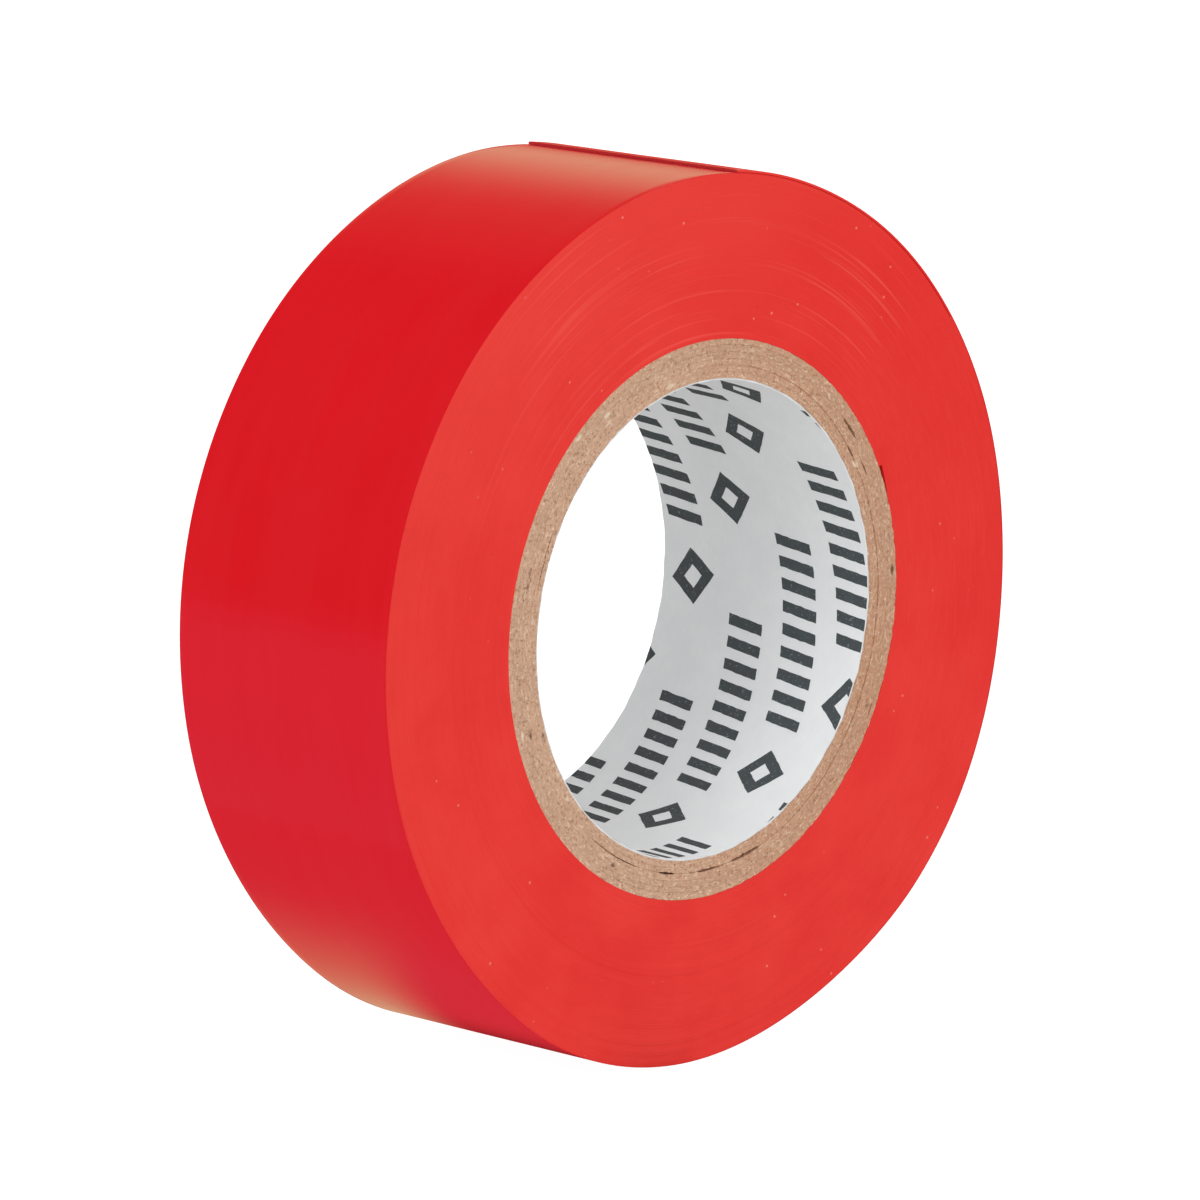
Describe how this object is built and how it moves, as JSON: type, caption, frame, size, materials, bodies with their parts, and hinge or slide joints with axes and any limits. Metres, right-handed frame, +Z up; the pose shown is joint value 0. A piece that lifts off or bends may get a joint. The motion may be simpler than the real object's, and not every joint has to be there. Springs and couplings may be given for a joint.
{
  "type": "electrical tape roll",
  "caption": "Roll of red vinyl electrical tape on a laminated board core with a printed paper lining, its free end peeling up on hinged lengths.",
  "frame": {"origin": "centre of the roll, on its axis and midway between its two sides", "axes": "+Y along the roll's axis, away from the side that shows the pattern of the winding; +Z up with the roll standing on its rim; the free end of the tape lies near +Z"},
  "size_m": [0.0592, 0.019, 0.0592],
  "materials": {
    "vinyl_tape": "glossy plasticised PVC face, satin slit edges",
    "core_board": "matt cut edge of grey-brown chipboard",
    "printed_paper": "smooth coated paper with a plain repeating pattern"
  },
  "bodies": {
    "roll": {"core_liner": "printed_paper", "core_ply_1": "core_board", "core_ply_2": "core_board", "core_ply_3": "core_board", "core_ply_4": "core_board", "core_ply_5": "core_board", "core_ply_6": "core_board", "tape_wound_strip": "vinyl_tape"},
    "tape_end_1": {"tape_end_1": "vinyl_tape"},
    "tape_end_2": {"tape_end_2": "vinyl_tape"},
    "tape_end_3": {"tape_end_3": "vinyl_tape"},
    "tape_end_4": {"tape_end_4": "vinyl_tape"},
    "tape_end_5": {"tape_end_5": "vinyl_tape"}
  },
  "joints": [
    {"name": "peel_1", "type": "hinge", "parent": "roll", "child": "tape_end_1", "pos_m": [0.02253, 0, 0.01931], "axis": [0, 1, 0], "range_deg": [0, 24]},
    {"name": "peel_2", "type": "hinge", "parent": "tape_end_1", "child": "tape_end_2", "pos_m": [0.01924, 0, 0.0226], "axis": [0, 1, 0], "range_deg": [0, 24]},
    {"name": "peel_3", "type": "hinge", "parent": "tape_end_2", "child": "tape_end_3", "pos_m": [0.01547, 0, 0.02534], "axis": [0, 1, 0], "range_deg": [0, 24]},
    {"name": "peel_4", "type": "hinge", "parent": "tape_end_3", "child": "tape_end_4", "pos_m": [0.01132, 0, 0.02745], "axis": [0, 1, 0], "range_deg": [0, 24]},
    {"name": "peel_5", "type": "hinge", "parent": "tape_end_4", "child": "tape_end_5", "pos_m": [0.00688, 0, 0.02889], "axis": [0, 1, 0], "range_deg": [0, 24]}
  ],
  "couplings": [
    {"joint": "peel_2", "follows": "peel_1", "ratio": 1},
    {"joint": "peel_3", "follows": "peel_1", "ratio": 1},
    {"joint": "peel_4", "follows": "peel_1", "ratio": 1},
    {"joint": "peel_5", "follows": "peel_1", "ratio": 1}
  ]
}
